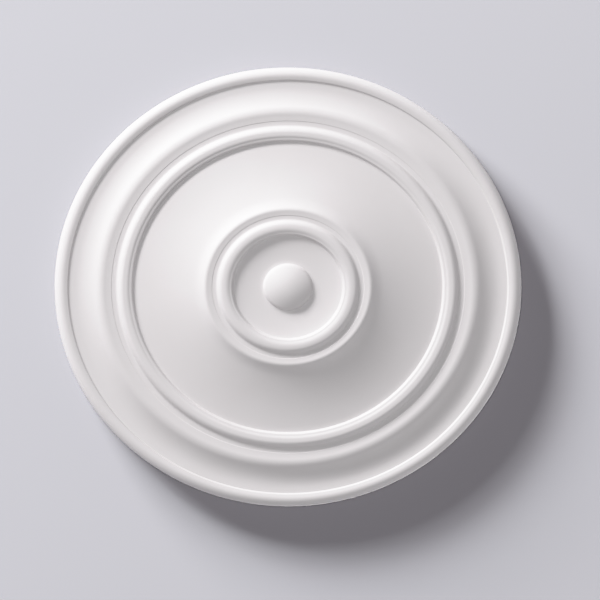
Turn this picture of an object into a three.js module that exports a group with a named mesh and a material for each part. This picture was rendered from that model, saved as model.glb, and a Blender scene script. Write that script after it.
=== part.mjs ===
// Ceiling rose: a plain round rose of turned mouldings, cast in one piece with its button.
// Millimetres, +Z up, in the pose of use: the flat back is against the ceiling at z = 0,
// and the moulded face looks down, towards -Z.
import * as THREE from 'three';

// Overall size
const DIAMETER = 480;
const RIM_DEPTH = 25;
const BUTTON_RADIUS = 25.4;

// How finely round forms are divided: sides about the axis, and the most that a chord may
// stand off an arc of the profile
const SIDES = 80;
const CHORD_ERROR = 0.2;

// The face is a chain of mouldings, given from the edge to the centre. Each has a run, which
// is its width along the radius, and a slope in degrees at its outer and at its inner end.
// A slope above 0 leads away from the ceiling on the way in, a slope below 0 leads back to it.
// Equal slopes make a straight flank, a falling slope makes a round, a rising one a hollow.
const RIM_BEAD = {
  edge: { run: 4.6, outer: 90, inner: 25 },
  outerRound: { run: 3.8, outer: 25, inner: 0 },
  innerRound: { run: 3, outer: 0, inner: -18 },
  fillet: { run: 1.6, outer: -10, inner: -10 },
  step: { run: 1, outer: -50, inner: -50 },
  foot: { run: 0.6, outer: -50, inner: 0 },
};
const COVE = {
  ledge: { run: 6, outer: 0, inner: 0 },
  hollow: { run: 21.2, outer: 0, inner: 35 },
  shoulder: { run: 9.8, outer: 35, inner: -7 },
  shelf: { run: 3.6, outer: -7, inner: -7 },
  fillet: { run: 2.8, outer: 0, inner: 0 },
  quirk: { run: 0.5, outer: -32, inner: -32 },
};
const MIDDLE_BEAD = {
  groove: { run: 4, outer: 0, inner: 0 },
  hollow: { run: 2.6, outer: 0, inner: 62 },
  outerRound: { run: 5.8, outer: 62, inner: 0 },
  crest: { run: 2.4, outer: 0, inner: 0 },
  innerRound: { run: 3.3, outer: 0, inner: -28 },
  fillet: { run: 2.4, outer: -8, inner: -8 },
  step: { run: 1.7, outer: -54, inner: -54 },
  foot: { run: 0.7, outer: -54, inner: 6.3 },
};
const FLARE = {
  plate: { run: 60, outer: 6.3, inner: 19 },
  sweep: { run: 11.2, outer: 19, inner: 38 },
  lip: { run: 4.4, outer: 38, inner: -9 },
  shelf: { run: 2.2, outer: -9, inner: -9 },
  fillet: { run: 2.2, outer: -2, inner: -2 },
  quirk: { run: 0.5, outer: -32, inner: -32 },
};
const BOSS_BEAD = {
  groove: { run: 3.4, outer: 0, inner: 0 },
  hollow: { run: 2.4, outer: 0, inner: 56 },
  outerRound: { run: 4.4, outer: 56, inner: 9 },
  crest: { run: 3.2, outer: 9, inner: 0 },
  innerRound: { run: 4.6, outer: 0, inner: -28 },
  fillet: { run: 1.8, outer: -12, inner: -12 },
  step: { run: 2, outer: -56, inner: -56 },
  foot: { run: 0.8, outer: -56, inner: -9 },
};
const DISH = { outer: -9, inner: 0 };
const BUTTON_EDGE = 3.2;
const BUTTON = {
  edge: { run: BUTTON_EDGE, outer: 76, inner: 27 },
  crown: { run: BUTTON_RADIUS - BUTTON_EDGE, outer: 27, inner: 0 },
};

const PRIMED_WHITE = 0xe9e6e6;

const sine = (degrees) => Math.sin(THREE.MathUtils.degToRad(degrees));
const tangent = (degrees) => Math.tan(THREE.MathUtils.degToRad(degrees));

// How many chords an arc needs: one that turns by an angle stands off by its radius times
// the square of that angle over 8.
function chordCount({ run, outer, inner }) {
  if (outer === inner) return 1;
  const radius = run / Math.abs(sine(outer) - sine(inner));
  const turn = THREE.MathUtils.degToRad(Math.abs(outer - inner));
  return Math.ceil(turn * Math.sqrt(radius / (8 * CHORD_ERROR)));
}

// Points of one moulding after its starting point, as radius and depth below the ceiling.
// The chord over any stretch of an arc has the mean of the slopes at the stretch's two ends.
function mouldingPoints(start, moulding) {
  const { run, outer, inner } = moulding;
  const count = chordCount(moulding);
  const points = [];
  for (let i = 1; i <= count; i += 1) {
    const slope = THREE.MathUtils.lerp(outer, inner, i / count);
    const share = outer === inner ? 1 : (sine(slope) - sine(outer)) / (sine(inner) - sine(outer));
    const inward = run * share;
    points.push(new THREE.Vector2(start.x - inward, start.y + inward * tangent((outer + slope) / 2)));
  }
  return points;
}

const riseOf = ({ run, outer, inner }) => run * tangent((outer + inner) / 2);

// The face's outline from the back edge to the axis. The dish round the button takes up the
// width that the mouldings leave.
function faceOutline() {
  const rings = [RIM_BEAD, COVE, MIDDLE_BEAD, FLARE, BOSS_BEAD].flatMap(Object.values);
  const radius = DIAMETER / 2;
  const ringsRun = rings.reduce((sum, moulding) => sum + moulding.run, 0);
  const dish = { run: radius - ringsRun - BUTTON_RADIUS, ...DISH };
  const wallDepth = RIM_DEPTH - riseOf(RIM_BEAD.edge) - riseOf(RIM_BEAD.outerRound);
  const outline = [new THREE.Vector2(radius, 0), new THREE.Vector2(radius, wallDepth)];
  for (const moulding of [...rings, dish, BUTTON.edge, BUTTON.crown]) {
    outline.push(...mouldingPoints(outline.at(-1), moulding));
  }
  outline.at(-1).x = 0;
  return outline;
}

// The solid: the face and the flat back, turned about the axis, with depth as -Z
function makeRose() {
  const outline = [...faceOutline().reverse(), new THREE.Vector2(0, 0)];
  const profile = outline.map((point) => new THREE.Vector2(point.x, -point.y));
  const geometry = new THREE.LatheGeometry(profile, SIDES).rotateX(Math.PI / 2);
  const finish = new THREE.MeshStandardMaterial({ color: PRIMED_WHITE, roughness: 0.55, metalness: 0 });
  const rose = new THREE.Mesh(geometry, finish);
  rose.name = 'ceiling_rose';
  return rose;
}

const part = new THREE.Group();
part.add(makeRose());

export default part;
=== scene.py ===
import math
from collections import namedtuple

import bmesh
import bpy
from bpy.props import FloatProperty, FloatVectorProperty, IntProperty, PointerProperty
from bpy.types import Operator, Panel, PropertyGroup
from mathutils import Matrix, Vector


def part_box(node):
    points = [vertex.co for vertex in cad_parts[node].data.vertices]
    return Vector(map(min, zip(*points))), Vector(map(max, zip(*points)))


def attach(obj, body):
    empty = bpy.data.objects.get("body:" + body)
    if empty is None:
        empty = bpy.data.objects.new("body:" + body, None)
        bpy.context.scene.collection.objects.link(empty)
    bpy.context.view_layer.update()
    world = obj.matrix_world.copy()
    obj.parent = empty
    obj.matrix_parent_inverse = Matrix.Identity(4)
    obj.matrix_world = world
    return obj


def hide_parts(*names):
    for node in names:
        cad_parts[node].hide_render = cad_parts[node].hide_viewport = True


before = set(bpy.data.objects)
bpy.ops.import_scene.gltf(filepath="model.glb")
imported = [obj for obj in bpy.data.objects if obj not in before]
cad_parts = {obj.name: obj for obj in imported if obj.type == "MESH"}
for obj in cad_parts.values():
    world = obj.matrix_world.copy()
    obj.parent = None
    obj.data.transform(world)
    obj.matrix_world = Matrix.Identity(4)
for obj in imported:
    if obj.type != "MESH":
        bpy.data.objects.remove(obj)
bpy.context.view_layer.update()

bl_info = {
    "name": "Ceiling Rose",
    "version": (1, 0, 0),
    "blender": (4, 5, 0),
    "location": "3D View > Sidebar > Ceiling Rose",
    "description": "Models a plain round ceiling rose of turned mouldings and sets its stage",
    "category": "Object",
}

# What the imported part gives: the rose hangs from its flat back at z = 0, face down
NODE = "ceiling_rose"
BODY = "root"
BOX_LOW, BOX_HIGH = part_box(NODE)
RADIUS = BOX_HIGH.x

# The face is a chain of mouldings, given from the edge to the centre. Each has a run, which
# is its width along the radius, and a slope in degrees at its outer and at its inner end.
# A slope above 0 leads away from the ceiling on the way in, a slope below 0 leads back to it.
MM = 0.001
Moulding = namedtuple("Moulding", "run outer inner")
RIM_BEAD = {
    "edge": Moulding(4.6 * MM, 90, 25),
    "outer_round": Moulding(3.8 * MM, 25, 0),
    "inner_round": Moulding(3 * MM, 0, -18),
    "fillet": Moulding(1.6 * MM, -10, -10),
    "step": Moulding(1 * MM, -50, -50),
    "foot": Moulding(0.6 * MM, -50, 0),
}
COVE = {
    "ledge": Moulding(6 * MM, 0, 0),
    "hollow": Moulding(21.2 * MM, 0, 35),
    "shoulder": Moulding(9.8 * MM, 35, -7),
    "shelf": Moulding(3.6 * MM, -7, -7),
    "fillet": Moulding(2.8 * MM, 0, 0),
    "quirk": Moulding(0.5 * MM, -32, -32),
}
MIDDLE_BEAD = {
    "groove": Moulding(4 * MM, 0, 0),
    "hollow": Moulding(2.6 * MM, 0, 62),
    "outer_round": Moulding(5.8 * MM, 62, 0),
    "crest": Moulding(2.4 * MM, 0, 0),
    "inner_round": Moulding(3.3 * MM, 0, -28),
    "fillet": Moulding(2.4 * MM, -8, -8),
    "step": Moulding(1.7 * MM, -54, -54),
    "foot": Moulding(0.7 * MM, -54, 6.3),
}
FLARE = {
    "plate": Moulding(60 * MM, 6.3, 19),
    "sweep": Moulding(11.2 * MM, 19, 38),
    "lip": Moulding(4.4 * MM, 38, -9),
    "shelf": Moulding(2.2 * MM, -9, -9),
    "fillet": Moulding(2.2 * MM, -2, -2),
    "quirk": Moulding(0.5 * MM, -32, -32),
}
BOSS_BEAD = {
    "groove": Moulding(3.4 * MM, 0, 0),
    "hollow": Moulding(2.4 * MM, 0, 56),
    "outer_round": Moulding(4.4 * MM, 56, 9),
    "crest": Moulding(3.2 * MM, 9, 0),
    "inner_round": Moulding(4.6 * MM, 0, -28),
    "fillet": Moulding(1.8 * MM, -12, -12),
    "step": Moulding(2 * MM, -56, -56),
    "foot": Moulding(0.8 * MM, -56, -9),
}
DISH_SLOPE = -9
BUTTON_EDGE = Moulding(3.2 * MM, 76, 27)
WALL_SLOPE = 90

# How the mesh is drawn: rings of the flat back, the most degrees that one chord turns, the
# least that makes a corner, and how corners are rounded and shaded
BACK_RINGS = 5
CHORD_TURN = 9
CORNER_TURN = 12
CORNER_SEGMENTS = 3
SHARP_EDGE = math.radians(35)
MERGE_DISTANCE = 0.005 * MM
BACK_MATERIAL = 1

# Finishes. Patterns are given as how many of their features lie in a metre. A pinhole's largest
# radius, its soft edge and how its size varies are given as shares of the cell that it lies in.
# The heights of marks and holes are given as multiples of the skin's grain.
NOISE_RANGE = (0.3, 0.7)
COAT_CLOUDS = 14.0
COAT_GRAIN = 700.0
COAT_ROUGHNESS = (0.5, 0.58)
COAT_BUMP = 0.08
COAT_RELIEF = 0.1 * MM
BACK_CLOUDS = 26.0
BACK_GRAIN = 420.0
BACK_ROUGHNESS = (0.66, 0.86)
BACK_BUMP = 0.3
BACK_RELIEF = 0.25 * MM
MARK_HEIGHT = 0.5
HOLE_HEIGHT = 2.0
PLANE_MARKS = (4.0, 220.0, 1.0)
PINHOLE_CELLS = 45.0
PINHOLE_RADIUS = 0.105
PINHOLE_EDGE = 0.02
PINHOLE_SCATTER = 0.2
OVERSPRAY_WIDTH = 8 * MM
OVERSPRAY_RAGGED = 7 * MM
SHEET_ROUGHNESS = 0.9
SHEET_SPECULAR = 0.1
VECTOR_MATH = "ShaderNodeVectorMath"

# The photo: the rose's centre and half width in pixels, and how much its height is squeezed
PHOTO_SIZE = 600
PHOTO_CENTRE = (288, 287)
PHOTO_HALF_WIDTH = 233.3
PHOTO_SQUEEZE = 0.94
CAMERA_DEPTH = 2.2

# Studio lamps, all far away: turn in the picture from its right side, height above the
# ceiling's plane and spread in degrees, strength, the object that each one reaches, and tint.
# A height below 0 is behind the ceiling, on the side of the rose's back.
WHITE = (1, 1, 1)
MAUVE = (1, 0.93, 0.967)
Lamp = namedtuple("Lamp", "name turn height spread strength reaches tint")
LAMPS = (
    Lamp("fill_on_rose", 128, 88, 60, 0.74, "rose", WHITE),
    Lamp("kick_on_rose", 308, 5, 20, 0.44, "rose", WHITE),
    Lamp("back_on_rose", 308, -70, 40, 2.5, "rose", WHITE),
    Lamp("fill_on_ceiling", 128, 88, 10, 4.37, "ceiling", MAUVE),
    Lamp("light_on_floor", 100, -70, 60, 2.6, "floor", WHITE),
)

# Broad windows, each of three lamps: a middle one and a lower one to either side, which stand
# a half width apart and are spread as lamps are. The light is what falls on the ceiling's
# plane, and the middle lamp's share of it.
Window = namedtuple(
    "Window", "name height side_height half_width spread light middle_share reaches"
)
WINDOWS = (
    Window("window_on_rose", 21.5, 18, 15, 11, 1.34, 0.6, "rose"),
    Window("window_on_ceiling", 18, 12, 9, 12, 12.8, 0.4, "ceiling"),
)
WINDOW_TURN = 128

# How the brightest light rolls off towards white: what reaches the film, and what it shows
SHOULDER = ((0.8, 0.8), (0.92, 0.875), (1.08, 0.94), (1.4, 0.995))
COMBINED_CURVE = 3

AMBIENT = 0.175
CEILING_GAP = 0.5 * MM
CEILING_SIZE = 8.0
FLOOR_DROP = 2.4
FLOOR_SIZE = 40.0
# How far either side of the centre the ceiling's painted light falloff runs, along the window's
# turn
PAINTED_FALLOFF_REACH = 0.4


class RoseShape(PropertyGroup):
    """Sizes of the rose that a user may change."""

    rim_depth: FloatProperty(
        name="Rim depth",
        description="How far the rim's crest stands off the ceiling",
        default=25 * MM,
        unit="LENGTH",
    )
    button_radius: FloatProperty(
        name="Button radius",
        description="Radius of the domed button at its foot",
        default=25.4 * MM,
        unit="LENGTH",
    )
    corner_round: FloatProperty(
        name="Corner round",
        description="How far the primer softens each arris and quirk",
        default=0.25 * MM,
        unit="LENGTH",
    )
    chord_error: FloatProperty(
        name="Chord error",
        description="The most that the mesh may stand off an arc of the profile",
        default=0.015 * MM,
        unit="LENGTH",
    )
    sides: IntProperty(
        name="Sides",
        description="How many sides the turned mesh has about the axis",
        default=400,
    )


class RoseFinish(PropertyGroup):
    """Colours of the rose's primed face and bare back, and the painted shade inside the back's
    pinholes.
    """

    face: FloatVectorProperty(
        name="Face",
        description="Main colour of the satin primer",
        default=(0.8095, 0.779, 0.791),
        subtype="COLOR",
    )
    face_thin: FloatVectorProperty(
        name="Face, thin coat",
        description="Colour of the primer where its coat is thinner",
        default=(0.7925, 0.76, 0.77),
        subtype="COLOR",
    )
    back: FloatVectorProperty(
        name="Back",
        description="Main colour of the bare cast back",
        default=(0.83, 0.81, 0.775),
        subtype="COLOR",
    )
    back_dark: FloatVectorProperty(
        name="Back, dark",
        description="Colour of the back's darker cloudy patches",
        default=(0.735, 0.711, 0.67),
        subtype="COLOR",
    )
    # Painted shade: the dark colour inside the pinholes stands for the shade that falls into
    # them; their dents are real bumps
    pinhole_shade: FloatVectorProperty(
        name="Pinholes",
        description="Colour inside the small open bubbles of the back",
        default=(0.42, 0.395, 0.355),
        subtype="COLOR",
    )


class StageLook(PropertyGroup):
    """Colours of the stage."""

    # Painted light: the ceiling's colour on its side towards the window, lighter to stand for the
    # light that falls there
    ceiling: FloatVectorProperty(
        name="Ceiling",
        description="Paint of the ceiling on its side towards the window",
        default=(0.116, 0.117, 0.1245),
        subtype="COLOR",
    )
    # Painted shade: the ceiling's colour away from the window, darker to stand for the light
    # falling off there
    ceiling_far_painted_shade: FloatVectorProperty(
        name="Ceiling, far side",
        description="Paint of the ceiling on its side away from the window",
        default=(0.0965, 0.0969, 0.1037),
        subtype="COLOR",
    )
    floor: FloatVectorProperty(
        name="Floor",
        description="Paint of the floor far below",
        default=(0.72, 0.72, 0.74),
        subtype="COLOR",
    )
    backdrop: FloatVectorProperty(
        name="Backdrop",
        description="Plain colour seen past the floor",
        default=(0.7, 0.7, 0.72),
        subtype="COLOR",
    )


# Profile of the rose


def sine(degrees):
    return math.sin(math.radians(degrees))


def tangent(degrees):
    return math.tan(math.radians(degrees))


def rise_of(moulding):
    return moulding.run * tangent((moulding.outer + moulding.inner) / 2)


def chord_count(moulding, chord_error):
    """How many chords keep close to a moulding's arc and turn little from one to the next.

    A chord that turns by an angle stands off by its radius times the square of that angle
    over 8.
    """
    turn = abs(moulding.outer - moulding.inner)
    if turn == 0:
        return 1
    radius = moulding.run / abs(sine(moulding.outer) - sine(moulding.inner))
    close = math.radians(turn) * math.sqrt(radius / (8 * chord_error))
    return math.ceil(max(close, turn / CHORD_TURN))


def moulding_points(start, moulding, chord_error):
    """Points of one moulding after its starting point, as radius and depth below the ceiling."""
    run, outer, inner = moulding
    count = chord_count(moulding, chord_error)
    points = []
    for i in range(1, count + 1):
        slope = outer + (inner - outer) * i / count
        share = 1 if outer == inner else (sine(slope) - sine(outer)) / (sine(inner) - sine(outer))
        inward = run * share
        points.append((start[0] - inward, start[1] + inward * tangent((outer + slope) / 2)))
    return points


def face_mouldings(shape):
    """All mouldings from the edge to the axis. The dish takes up the width that is left."""
    rings = [
        moulding
        for ring in (RIM_BEAD, COVE, MIDDLE_BEAD, FLARE, BOSS_BEAD)
        for moulding in ring.values()
    ]
    dish_run = RADIUS - sum(moulding.run for moulding in rings) - shape.button_radius
    dish = Moulding(dish_run, DISH_SLOPE, 0)
    crown = Moulding(shape.button_radius - BUTTON_EDGE.run, BUTTON_EDGE.inner, 0)
    return rings + [dish, BUTTON_EDGE, crown]


def rose_outline(shape):
    """Outline of the half section, from the centre of the back, round the rim, to the axis.

    The second list holds the places of its corners, which the primer softens.
    """
    wall = shape.rim_depth - rise_of(RIM_BEAD["edge"]) - rise_of(RIM_BEAD["outer_round"])
    outline = [(RADIUS * i / BACK_RINGS, 0.0) for i in range(BACK_RINGS + 1)]
    corners = [BACK_RINGS]
    outline.append((RADIUS, wall))
    slope = WALL_SLOPE
    for moulding in face_mouldings(shape):
        if abs(moulding.outer - slope) > CORNER_TURN:
            corners.append(len(outline) - 1)
        outline += moulding_points(outline[-1], moulding, shape.chord_error)
        slope = moulding.inner
    outline[-1] = (0.0, outline[-1][1])
    return [Vector((radius, 0.0, -depth)) for radius, depth in outline], corners


# Modelling


def begin_mesh(name):
    """A new object at the origin, with one vertex there, in edit mode."""
    bpy.ops.object.select_all(action="DESELECT")
    bpy.ops.mesh.primitive_plane_add(location=(0, 0, 0))
    piece = bpy.context.object
    piece.name = name
    piece.data.name = name
    bpy.ops.object.mode_set(mode="EDIT")
    bpy.ops.mesh.select_all(action="SELECT")
    bpy.ops.mesh.merge(type="CENTER")
    return piece


def draw_chain(points):
    """Extrudes the selected vertex from point to point."""
    for here, there in zip(points, points[1:]):
        bpy.ops.mesh.extrude_vertices_move(TRANSFORM_OT_translate={"value": there - here})


def round_corners(piece, corners, width):
    """Softens the chain's corners with small arcs."""
    edit_mesh = bmesh.from_edit_mesh(piece.data)
    edit_mesh.verts.ensure_lookup_table()
    bpy.ops.mesh.select_all(action="DESELECT")
    for corner in corners:
        edit_mesh.verts[corner].select_set(True)
    edit_mesh.select_flush_mode()
    bmesh.update_edit_mesh(piece.data)
    bpy.ops.mesh.bevel(affect="VERTICES", offset=width, segments=CORNER_SEGMENTS)


def turn_chain(sides):
    """Spins the chain about the axis and closes the seam and the poles."""
    bpy.ops.mesh.select_all(action="SELECT")
    bpy.ops.mesh.spin(steps=sides, angle=2 * math.pi, center=(0, 0, 0), axis=(0, 0, 1))
    bpy.ops.mesh.select_all(action="SELECT")
    bpy.ops.mesh.remove_doubles(threshold=MERGE_DISTANCE)
    bpy.ops.mesh.normals_make_consistent(inside=False)


def give_back_material(piece):
    """Gives the flat back its own material."""
    edit_mesh = bmesh.from_edit_mesh(piece.data)
    bpy.ops.mesh.select_all(action="DESELECT")
    for face in edit_mesh.faces:
        face.select_set(all(vertex.co.z > -MERGE_DISTANCE for vertex in face.verts))
    bmesh.update_edit_mesh(piece.data)
    piece.active_material_index = BACK_MATERIAL
    bpy.ops.object.material_slot_assign()


# Materials


def give(tree, socket, value):
    """Links a socket to another one, or sets a plain value on it."""
    if isinstance(value, bpy.types.NodeSocket):
        tree.links.new(value, socket)
    else:
        socket.default_value = value


def add_node(tree, kind, **inputs):
    """A node of a kind, whose named inputs take plain values or sockets."""
    node = tree.nodes.new(kind)
    for name, value in inputs.items():
        give(tree, node.inputs[name.replace("_", " ")], value)
    return node


def add_math(tree, operation, *values, kind="ShaderNodeMath"):
    """The number that a sum gives, on plain values or sockets."""
    node = tree.nodes.new(kind)
    node.operation = operation
    for socket, value in zip(node.inputs, values):
        give(tree, socket, value)
    return node.outputs["Value"]


def add_range(tree, value, low, high, to_low=0.0, to_high=1.0):
    """A value's place between two limits, as a number between two others."""
    node = add_node(
        tree,
        "ShaderNodeMapRange",
        Value=value,
        From_Min=low,
        From_Max=high,
        To_Min=to_low,
        To_Max=to_high,
    )
    return node.outputs["Result"]


def add_mix(tree, factor, low, high):
    """A mix of two colours."""
    mix = tree.nodes.new("ShaderNodeMix")
    mix.data_type = "RGBA"
    for name, value in (("Factor", factor), ("A", low), ("B", high)):
        give(tree, mix.inputs[name], value)
    return mix.outputs["Result"]


def opaque(color):
    return (*color, 1.0)


def new_material(name):
    """A material with nodes: itself, its tree, its shader and its Object coordinates."""
    material = bpy.data.materials.new(name)
    material.use_nodes = True
    tree = material.node_tree
    place = tree.nodes.new("ShaderNodeTexCoord").outputs["Object"]
    return material, tree, tree.nodes["Principled BSDF"], place


def cast_surface_group():
    """Node group shared by the finishes: soft clouds in a coat, and the grain of its skin."""
    name = "cast_surface"
    if name in bpy.data.node_groups:
        return bpy.data.node_groups[name]
    group = bpy.data.node_groups.new(name, "ShaderNodeTree")
    socket = group.interface.new_socket
    socket("Vector", in_out="INPUT", socket_type="NodeSocketVector")
    socket("Cloud Scale", in_out="INPUT", socket_type="NodeSocketFloat")
    socket("Grain Scale", in_out="INPUT", socket_type="NodeSocketFloat")
    socket("Clouds", in_out="OUTPUT", socket_type="NodeSocketFloat")
    socket("Grain", in_out="OUTPUT", socket_type="NodeSocketFloat")
    entry = group.nodes.new("NodeGroupInput").outputs
    clouds = add_node(
        group,
        "ShaderNodeTexNoise",
        Vector=entry["Vector"],
        Scale=entry["Cloud Scale"],
        Detail=4.0,
        Roughness=0.55,
        Distortion=0.4,
    )
    grain = add_node(
        group, "ShaderNodeTexNoise", Vector=entry["Vector"], Scale=entry["Grain Scale"]
    )
    add_node(
        group,
        "NodeGroupOutput",
        Clouds=add_range(group, clouds.outputs["Fac"], *NOISE_RANGE),
        Grain=grain.outputs["Fac"],
    )
    return group


def add_cast_surface(tree, place, cloud_scale, grain_scale):
    """The clouds and the grain of the shared group, at a material's own scales."""
    surface = tree.nodes.new("ShaderNodeGroup")
    surface.node_tree = cast_surface_group()
    give(tree, surface.inputs["Vector"], place)
    give(tree, surface.inputs["Cloud Scale"], cloud_scale)
    give(tree, surface.inputs["Grain Scale"], grain_scale)
    return surface.outputs["Clouds"], surface.outputs["Grain"]


def add_relief(tree, shader, height, strength, depth):
    """Bumps of a height map on a shader."""
    bump = add_node(tree, "ShaderNodeBump", Height=height, Strength=strength, Distance=depth)
    give(tree, shader.inputs["Normal"], bump.outputs["Normal"])


def satin_primer(finish):
    """Sprayed white primer: a satin coat that varies a little in thickness, with a fine skin."""
    material, tree, shader, place = new_material("satin_primer")
    clouds, grain = add_cast_surface(tree, place, COAT_CLOUDS, COAT_GRAIN)
    color = add_mix(tree, clouds, opaque(finish.face_thin), opaque(finish.face))
    give(tree, shader.inputs["Base Color"], color)
    give(tree, shader.inputs["Roughness"], add_range(tree, clouds, 0.0, 1.0, *COAT_ROUGHNESS))
    add_relief(tree, shader, grain, COAT_BUMP, COAT_RELIEF)
    return material


def add_plane_marks(tree, place):
    """Faint long marks that planing leaves: a number from 0 to 1."""
    drawn_out = add_node(tree, "ShaderNodeMapping", Vector=place, Scale=PLANE_MARKS)
    marks = add_node(
        tree, "ShaderNodeTexNoise", Vector=drawn_out.outputs["Vector"], Scale=1.0, Detail=3.0
    )
    return add_range(tree, marks.outputs["Fac"], *NOISE_RANGE)


def add_pinholes(tree, place):
    """Small open bubbles in a cast skin: 0 inside a hole and 1 on the skin round it."""
    cells = add_node(tree, "ShaderNodeTexVoronoi", Vector=place, Scale=PINHOLE_CELLS)
    cells.voronoi_dimensions = "2D"
    size_and_place = add_math(
        tree, "MULTIPLY_ADD", cells.outputs["Color"], PINHOLE_SCATTER, cells.outputs["Distance"]
    )
    return add_range(tree, size_and_place, PINHOLE_RADIUS - PINHOLE_EDGE, PINHOLE_RADIUS)


def add_overspray(tree, place, clouds):
    """Ragged band of primer that has drifted over the back's edge: 1 where it lies."""
    radius = add_math(tree, "LENGTH", place, kind=VECTOR_MATH)
    ragged = add_math(tree, "MULTIPLY_ADD", clouds, OVERSPRAY_RAGGED, radius)
    full = RADIUS + OVERSPRAY_RAGGED / 2
    return add_range(tree, ragged, full - OVERSPRAY_WIDTH, full)


def bare_cast_back(finish):
    """Bare cast back, planed flat: faint clouds, plane marks, pinholes with painted shade inside
    them, and primer at the edge.
    """
    material, tree, shader, place = new_material("bare_cast_back")
    clouds, grain = add_cast_surface(tree, place, BACK_CLOUDS, BACK_GRAIN)
    marks = add_plane_marks(tree, place)
    holes = add_pinholes(tree, place)
    planed = add_math(tree, "MULTIPLY", clouds, marks)
    skin = add_mix(tree, planed, opaque(finish.back_dark), opaque(finish.back))
    # Painted shade inside the pinholes: the holes mask darkens the colour there and also sinks
    # the bumps
    pitted_with_painted_shade = add_mix(tree, holes, opaque(finish.pinhole_shade), skin)
    color = add_mix(tree, add_overspray(tree, place, clouds), pitted_with_painted_shade, opaque(finish.face))
    give(tree, shader.inputs["Base Color"], color)
    give(tree, shader.inputs["Roughness"], add_range(tree, marks, 0.0, 1.0, *BACK_ROUGHNESS))
    scored = add_math(tree, "MULTIPLY_ADD", marks, MARK_HEIGHT, grain)
    height = add_math(tree, "MULTIPLY_ADD", holes, HOLE_HEIGHT, scored)
    add_relief(tree, shader, height, BACK_BUMP, BACK_RELIEF)
    return material


def sheet_paint_with_painted_falloff(name, near, far):
    """Matt paint of a stage sheet with a painted light falloff: lighter on its side towards the
    window and darker away from it, where its two colours differ.
    """
    material, tree, shader, place = new_material(name)
    # Painted light falloff: the colour runs from the far colour to the near one along the
    # window's turn
    window_side = towards(WINDOW_TURN, 0)
    along = add_math(tree, "DOT_PRODUCT", place, window_side, kind=VECTOR_MATH)
    painted_falloff = add_range(tree, along, -PAINTED_FALLOFF_REACH, PAINTED_FALLOFF_REACH)
    give(tree, shader.inputs["Base Color"], add_mix(tree, painted_falloff, opaque(far), opaque(near)))
    give(tree, shader.inputs["Roughness"], SHEET_ROUGHNESS)
    give(tree, shader.inputs["Specular IOR Level"], SHEET_SPECULAR)
    return material


def make_one_sided(material):
    """Lets light and view through a paint from behind."""
    tree = material.node_tree
    side = tree.nodes.new("ShaderNodeNewGeometry")
    clear = tree.nodes.new("ShaderNodeBsdfTransparent")
    choose = tree.nodes.new("ShaderNodeMixShader")
    link = tree.links.new
    link(side.outputs["Backfacing"], choose.inputs["Fac"])
    link(tree.nodes["Principled BSDF"].outputs["BSDF"], choose.inputs[1])
    link(clear.outputs["BSDF"], choose.inputs[2])
    link(choose.outputs["Shader"], tree.nodes["Material Output"].inputs["Surface"])


# Stage


def plain_sheet(name, size, height, material, faces_down):
    """A large flat sheet of the stage."""
    bpy.ops.object.select_all(action="DESELECT")
    bpy.ops.mesh.primitive_plane_add(size=size, location=(0, 0, height))
    sheet = bpy.context.object
    sheet.name = name
    sheet.data.materials.append(material)
    sheet.visible_shadow = False
    if faces_down:
        bpy.ops.object.mode_set(mode="EDIT")
        bpy.ops.mesh.select_all(action="SELECT")
        bpy.ops.mesh.flip_normals()
        bpy.ops.object.mode_set(mode="OBJECT")
    return sheet


def show_to_camera_only(sheet):
    """Keeps a sheet's light off everything else."""
    sheet.visible_diffuse = False
    sheet.visible_glossy = False


def towards(turn, height):
    """Direction from the rose to a lamp, from its turn and height in degrees."""
    flat = sine(90 - height)
    return Vector((flat * sine(90 - turn), -flat * sine(turn), -sine(height)))


def window_lamps(window):
    """The three lamps of a window."""
    side_share = (1 - window.middle_share) / 2
    panes = (
        ("left", window.half_width, window.side_height, side_share),
        ("middle", 0, window.height, window.middle_share),
        ("right", -window.half_width, window.side_height, side_share),
    )
    lamps = []
    for pane, offset, height, share in panes:
        name = f"{window.name}_{pane}"
        turn = WINDOW_TURN + offset
        strength = window.light * share / sine(height)
        lamps.append(Lamp(name, turn, height, window.spread, strength, window.reaches, WHITE))
    return lamps


def hang_lamp(lamp, receivers):
    """A far lamp that reaches one object of the scene."""
    aim = towards(lamp.turn, lamp.height).to_track_quat("Z", "Y").to_euler()
    bpy.ops.object.light_add(type="SUN", rotation=aim)
    light = bpy.context.object
    light.name = lamp.name
    light.data.energy = lamp.strength
    light.data.color = lamp.tint
    light.data.angle = math.radians(lamp.spread)
    light.light_linking.receiver_collection = receivers[lamp.reaches]


def receiver_group(name, piece):
    """A collection that only holds what a lamp reaches."""
    group = bpy.data.collections.new(name)
    group.objects.link(piece)
    return group


def set_world(backdrop):
    """Even ambient light, with a pale backdrop where the camera sees past the stage."""
    world = bpy.data.worlds.new("studio")
    world.use_nodes = True
    tree = world.node_tree
    ambient = tree.nodes["Background"]
    ambient.inputs["Color"].default_value = (1, 1, 1, 1)
    ambient.inputs["Strength"].default_value = AMBIENT
    seen = add_node(tree, "ShaderNodeBackground", Color=opaque(backdrop))
    ray = tree.nodes.new("ShaderNodeLightPath")
    choose = tree.nodes.new("ShaderNodeMixShader")
    link = tree.links.new
    link(ray.outputs["Is Camera Ray"], choose.inputs["Fac"])
    link(ambient.outputs["Background"], choose.inputs[1])
    link(seen.outputs["Background"], choose.inputs[2])
    link(choose.outputs["Shader"], tree.nodes["World Output"].inputs["Surface"])
    bpy.context.scene.world = world


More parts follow.
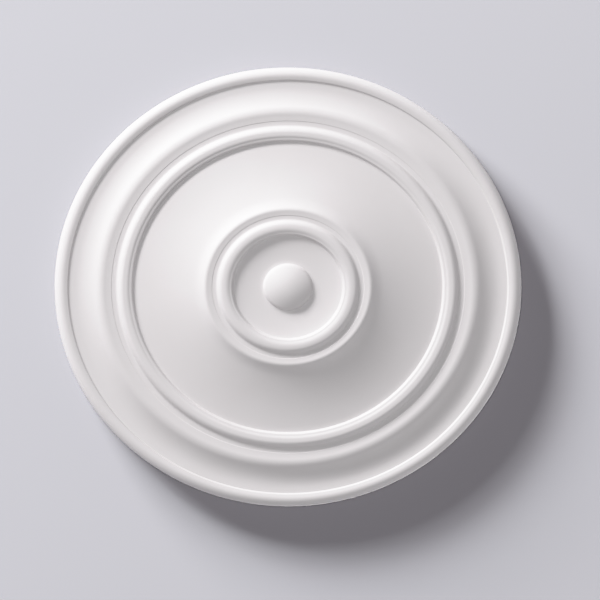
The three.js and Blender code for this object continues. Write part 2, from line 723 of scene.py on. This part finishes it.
def set_camera():
    """A camera square below the rose, with the photo's framing and its squeezed height.

    In the photo every ring is the same ellipse about one centre, whatever its depth. So the
    camera looks straight up with no perspective, and its sideways axis leans out of the
    picture's plane, which draws the width larger than the height.
    """
    pixel = RADIUS / PHOTO_HALF_WIDTH
    across = (PHOTO_SIZE / 2 - PHOTO_CENTRE[0]) * pixel
    along = (PHOTO_SIZE / 2 - PHOTO_CENTRE[1]) * pixel / PHOTO_SQUEEZE
    lean = math.sqrt(1 - PHOTO_SQUEEZE**2)
    bpy.ops.object.empty_add(location=(0, 0, 0))
    carrier = bpy.context.object
    carrier.name = "camera_carrier"
    bpy.ops.object.camera_add(location=(0, 0, 0), rotation=(0, 0, 0))
    camera = bpy.context.object
    camera.name = "photo_camera"
    camera.data.type = "ORTHO"
    camera.data.ortho_scale = PHOTO_SIZE * pixel / PHOTO_SQUEEZE
    camera.parent = carrier
    camera.matrix_parent_inverse = Matrix(
        (
            (PHOTO_SQUEEZE, 0, 0, across),
            (0, -1, 0, along),
            (-lean, 0, -1, -CAMERA_DEPTH),
            (0, 0, 0, 1),
        )
    )
    bpy.context.scene.camera = camera


def soften_highlights(view):
    """Keeps the middle tones as they are and rolls the brightest ones off towards white."""
    view.view_transform = "Standard"
    view.use_curve_mapping = True
    *bend, (white, brightest) = SHOULDER
    mapping = view.curve_mapping
    mapping.white_level = (white, white, white)
    mapping.initialize()
    tone = mapping.curves[COMBINED_CURVE]
    start, end = tone.points
    start.location = (0, 0)
    end.location = (1, brightest)
    for reached, shown in bend:
        tone.points.new(reached / white, shown)
    for straight in tone.points[:2]:
        straight.handle_type = "VECTOR"
    mapping.update()


class CEILINGROSE_OT_model_rose(Operator):
    """Models the rose as one turned piece, in place of its solid"""

    bl_idname = "ceiling_rose.model_rose"
    bl_label = "Model Rose"

    def execute(self, context):
        shape = context.scene.rose_shape
        finish = context.scene.rose_finish
        points, corners = rose_outline(shape)
        rose = begin_mesh("turned_rose")
        draw_chain(points)
        round_corners(rose, corners, shape.corner_round)
        turn_chain(shape.sides)
        rose.data.materials.append(satin_primer(finish))
        rose.data.materials.append(bare_cast_back(finish))
        give_back_material(rose)
        bpy.ops.object.mode_set(mode="OBJECT")
        bpy.ops.object.shade_smooth_by_angle(angle=SHARP_EDGE)
        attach(rose, BODY)
        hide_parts(NODE)
        return {"FINISHED"}


class CEILINGROSE_OT_set_stage(Operator):
    """Sets the ceiling, the floor, the lamps and the camera"""

    bl_idname = "ceiling_rose.set_stage"
    bl_label = "Set Stage"

    def execute(self, context):
        look = context.scene.rose_stage
        # The ceiling's paint carries the painted light falloff; the floor's two colours are the
        # same, so it stays even
        ceiling_paint_with_painted_falloff = sheet_paint_with_painted_falloff("ceiling_paint_with_painted_falloff", look.ceiling, look.ceiling_far_painted_shade)
        make_one_sided(ceiling_paint_with_painted_falloff)
        floor_paint = sheet_paint_with_painted_falloff("floor_paint", look.floor, look.floor)
        ceiling = plain_sheet("ceiling", CEILING_SIZE, CEILING_GAP, ceiling_paint_with_painted_falloff, True)
        floor = plain_sheet("floor", FLOOR_SIZE, -FLOOR_DROP, floor_paint, False)
        show_to_camera_only(floor)
        receivers = {
            "rose": receiver_group("lit_rose", bpy.data.objects["turned_rose"]),
            "ceiling": receiver_group("lit_ceiling", ceiling),
            "floor": receiver_group("lit_floor", floor),
        }
        for window in WINDOWS:
            for lamp in window_lamps(window):
                hang_lamp(lamp, receivers)
        for lamp in LAMPS:
            hang_lamp(lamp, receivers)
        set_world(look.backdrop)
        set_camera()
        soften_highlights(context.scene.view_settings)
        return {"FINISHED"}


class CEILINGROSE_PT_panel(Panel):
    """Lists the rose's steps, sizes and colours"""

    bl_label = "Ceiling Rose"
    bl_idname = "CEILINGROSE_PT_panel"
    bl_space_type = "VIEW_3D"
    bl_region_type = "UI"
    bl_category = "Ceiling Rose"

    def draw(self, context):
        column = self.layout.column()
        for operator in (CEILINGROSE_OT_model_rose, CEILINGROSE_OT_set_stage):
            column.operator(operator.bl_idname)
        for name in SETTINGS:
            settings = getattr(context.scene, name)
            for prop in settings.bl_rna.properties:
                if prop.identifier not in ("rna_type", "name"):
                    column.prop(settings, prop.identifier)


SETTINGS = {"rose_shape": RoseShape, "rose_finish": RoseFinish, "rose_stage": StageLook}
CLASSES = (
    RoseShape,
    RoseFinish,
    StageLook,
    CEILINGROSE_OT_model_rose,
    CEILINGROSE_OT_set_stage,
    CEILINGROSE_PT_panel,
)


def register():
    for cls in CLASSES:
        bpy.utils.register_class(cls)
    for name, group in SETTINGS.items():
        setattr(bpy.types.Scene, name, PointerProperty(type=group))


def unregister():
    for name in SETTINGS:
        delattr(bpy.types.Scene, name)
    for cls in reversed(CLASSES):
        bpy.utils.unregister_class(cls)


def main():
    register()
    bpy.ops.ceiling_rose.model_rose()
    bpy.ops.ceiling_rose.set_stage()


if __name__ == "__main__":
    main()
